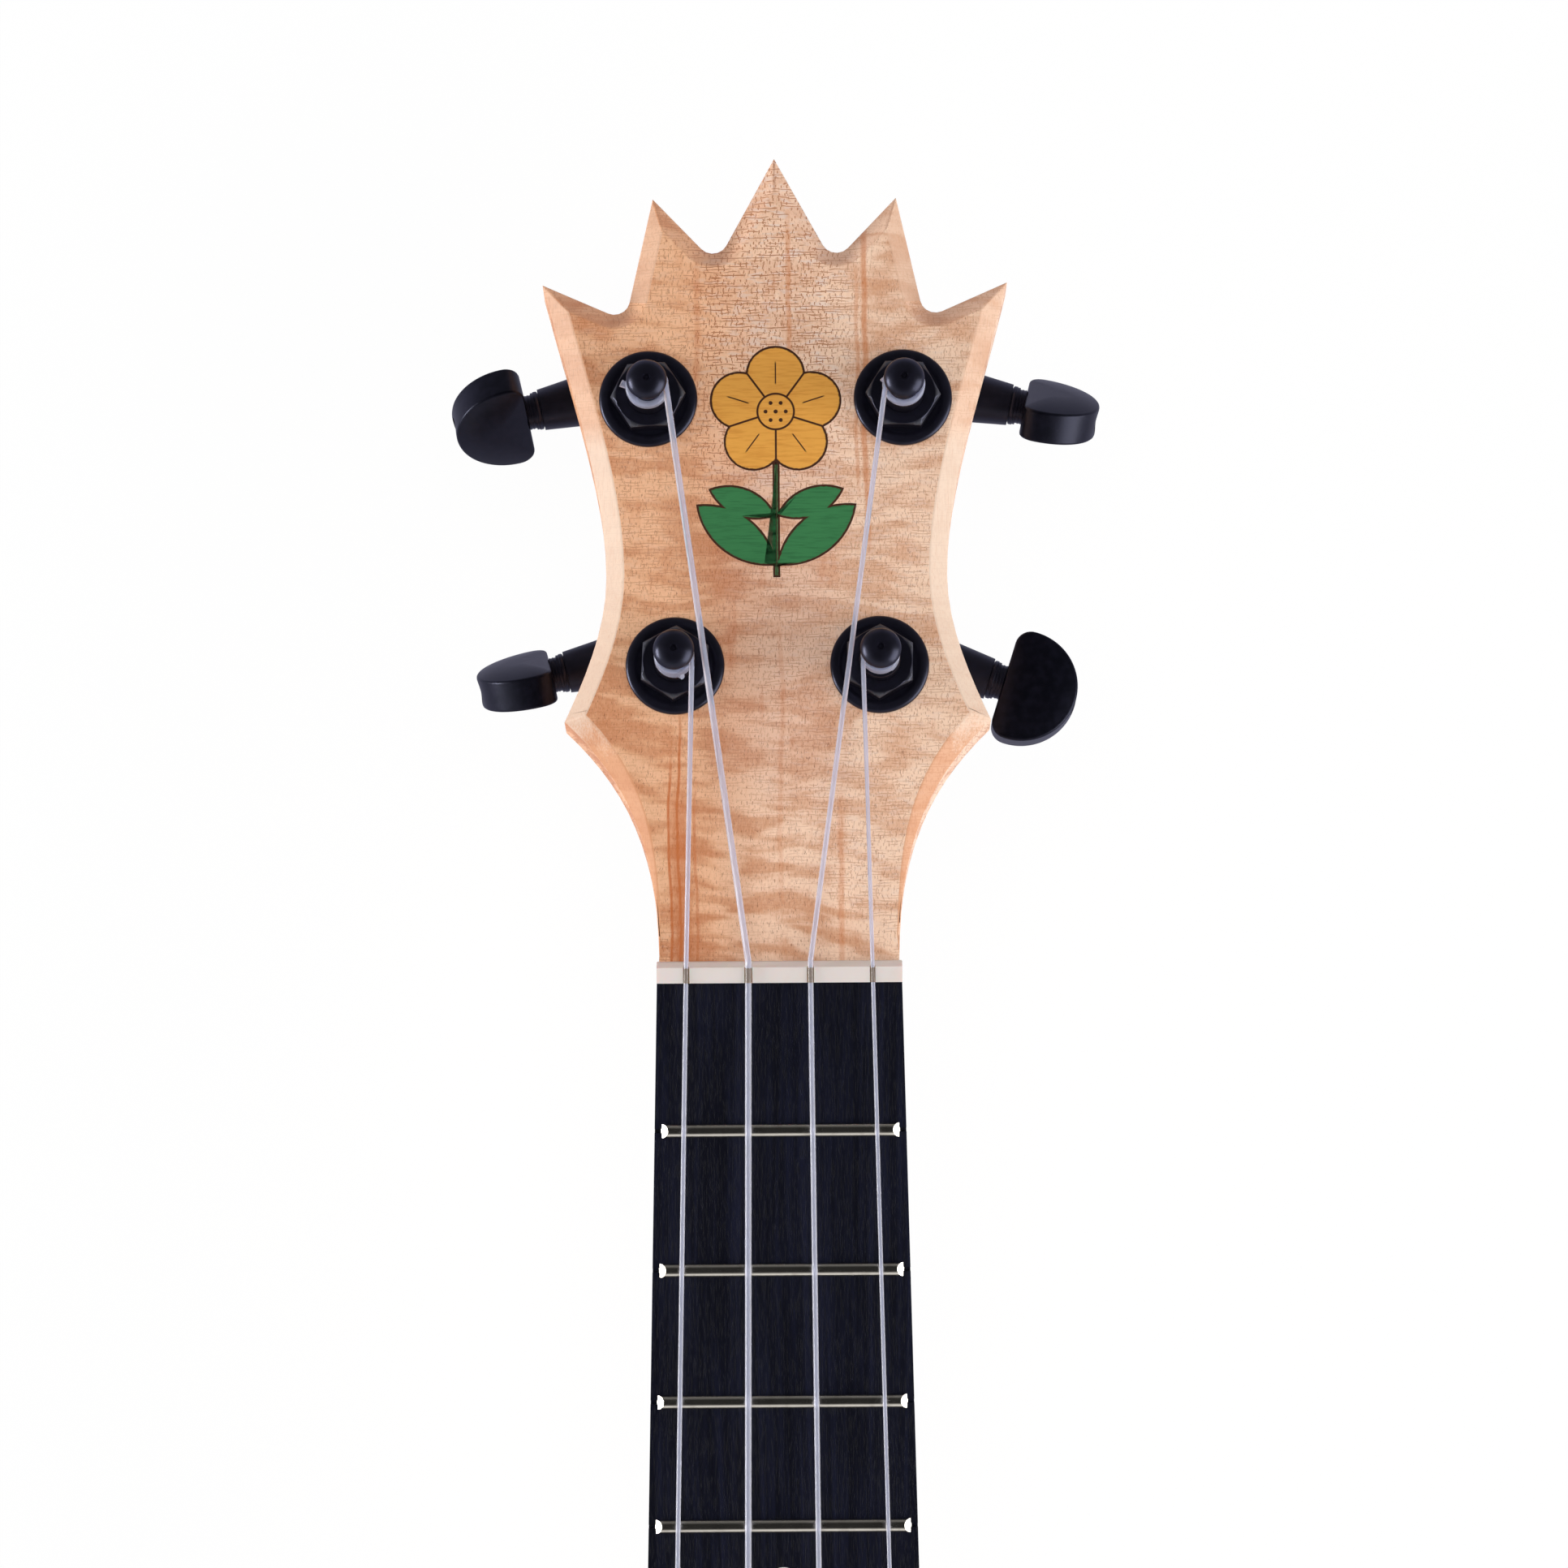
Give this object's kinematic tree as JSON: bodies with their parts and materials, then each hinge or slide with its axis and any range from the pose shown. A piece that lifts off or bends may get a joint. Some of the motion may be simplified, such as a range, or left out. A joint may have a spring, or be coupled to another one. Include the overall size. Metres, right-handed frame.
{
  "type": "ukulele",
  "caption": "Concert ukulele with a crown-shaped headstock, a figured pale wood body, a dark fretboard and sealed worm-gear tuning machines that turn.",
  "frame": {"origin": "middle of the sound box's length and width, on the outside of its flat back", "axes": "+X across the strings to the A string's side, +Y along the neck to the headstock, +Z out of the soundboard"},
  "size_m": [0.192, 0.6132, 0.0758],
  "materials": {
    "body_wood": "satin",
    "neck_wood": "satin",
    "brace_wood": "matte",
    "dark_wood": "satin",
    "bone": "satin",
    "fret_metal": "polished",
    "inlay_gold": "satin",
    "inlay_green": "satin",
    "string_nylon": "gloss",
    "black_steel": "satin",
    "black_cast": "satin",
    "button_plastic": "satin",
    "gear_brass": "satin"
  },
  "bodies": {
    "instrument": {"soundboard": "body_wood", "back_plate": "body_wood", "side_left": "body_wood", "side_right": "body_wood", "neck_block": "neck_wood", "tail_block": "neck_wood", "top_linings": "brace_wood", "back_linings": "brace_wood", "top_braces": "brace_wood", "back_braces": "brace_wood", "bridge_plate": "neck_wood", "rosette": "dark_wood", "bridge": "dark_wood", "saddle": "bone", "neck": "neck_wood", "headstock": "neck_wood", "fretboard": "dark_wood", "nut": "bone", "frets": "fret_metal", "fret_markers": "bone", "side_markers": "bone", "inlay_flower": "inlay_gold", "inlay_leaves": "inlay_green", "heel_cap": "dark_wood", "neck_bolt": "black_steel", "string_g": "string_nylon", "string_c": "string_nylon", "string_e": "string_nylon", "string_a": "string_nylon", "tuner_washers": "black_cast", "tuner_bushings": "black_cast", "tuner_screws": "black_steel", "tuner_housing_g": "black_cast", "tuner_housing_c": "black_cast", "tuner_housing_e": "black_cast", "tuner_housing_a": "black_cast"},
    "button_g": {"worm_shaft_g": "black_steel", "button_g": "button_plastic", "button_screw_g": "black_steel"},
    "post_g": {"post_g": "black_steel", "gear_g": "gear_brass", "winding_g": "string_nylon"},
    "button_c": {"worm_shaft_c": "black_steel", "button_c": "button_plastic", "button_screw_c": "black_steel"},
    "post_c": {"post_c": "black_steel", "gear_c": "gear_brass", "winding_c": "string_nylon"},
    "button_e": {"worm_shaft_e": "black_steel", "button_e": "button_plastic", "button_screw_e": "black_steel"},
    "post_e": {"post_e": "black_steel", "gear_e": "gear_brass", "winding_e": "string_nylon"},
    "button_a": {"worm_shaft_a": "black_steel", "button_a": "button_plastic", "button_screw_a": "black_steel"},
    "post_a": {"post_a": "black_steel", "gear_a": "gear_brass", "winding_a": "string_nylon"}
  },
  "joints": [
    {"name": "button_g_turn", "type": "hinge", "parent": "instrument", "child": "button_g", "pos_m": [-0.02606, 0.39805, 0.03917], "axis": [-0.9763, -0.213, 0.0387], "continuous": true},
    {"name": "post_g_turn", "type": "hinge", "parent": "instrument", "child": "post_g", "pos_m": [-0.015, 0.39738, 0.05617], "axis": [0, 0.1788, 0.9839], "continuous": true},
    {"name": "button_c_turn", "type": "hinge", "parent": "instrument", "child": "button_c", "pos_m": [-0.02986, 0.43761, 0.03199], "axis": [-0.9763, -0.213, 0.0387], "continuous": true},
    {"name": "post_c_turn", "type": "hinge", "parent": "instrument", "child": "post_c", "pos_m": [-0.0188, 0.43693, 0.04898], "axis": [0, 0.1788, 0.9839], "continuous": true},
    {"name": "button_e_turn", "type": "hinge", "parent": "instrument", "child": "button_e", "pos_m": [0.0298, 0.4378, 0.03195], "axis": [0.9799, -0.1962, 0.0356], "continuous": true},
    {"name": "post_e_turn", "type": "hinge", "parent": "instrument", "child": "post_e", "pos_m": [0.0188, 0.43693, 0.04898], "axis": [0, 0.1788, 0.9839], "continuous": true},
    {"name": "button_a_turn", "type": "hinge", "parent": "instrument", "child": "button_a", "pos_m": [0.02634, 0.39709, 0.03935], "axis": [0.9537, -0.2959, 0.0538], "continuous": true},
    {"name": "post_a_turn", "type": "hinge", "parent": "instrument", "child": "post_a", "pos_m": [0.015, 0.39738, 0.05617], "axis": [0, 0.1788, 0.9839], "continuous": true}
  ],
  "couplings": [
    {"joint": "post_g_turn", "follows": "button_g_turn", "ratio": 0.071429},
    {"joint": "post_c_turn", "follows": "button_c_turn", "ratio": 0.071429},
    {"joint": "post_e_turn", "follows": "button_e_turn", "ratio": 0.071429},
    {"joint": "post_a_turn", "follows": "button_a_turn", "ratio": 0.071429}
  ]
}
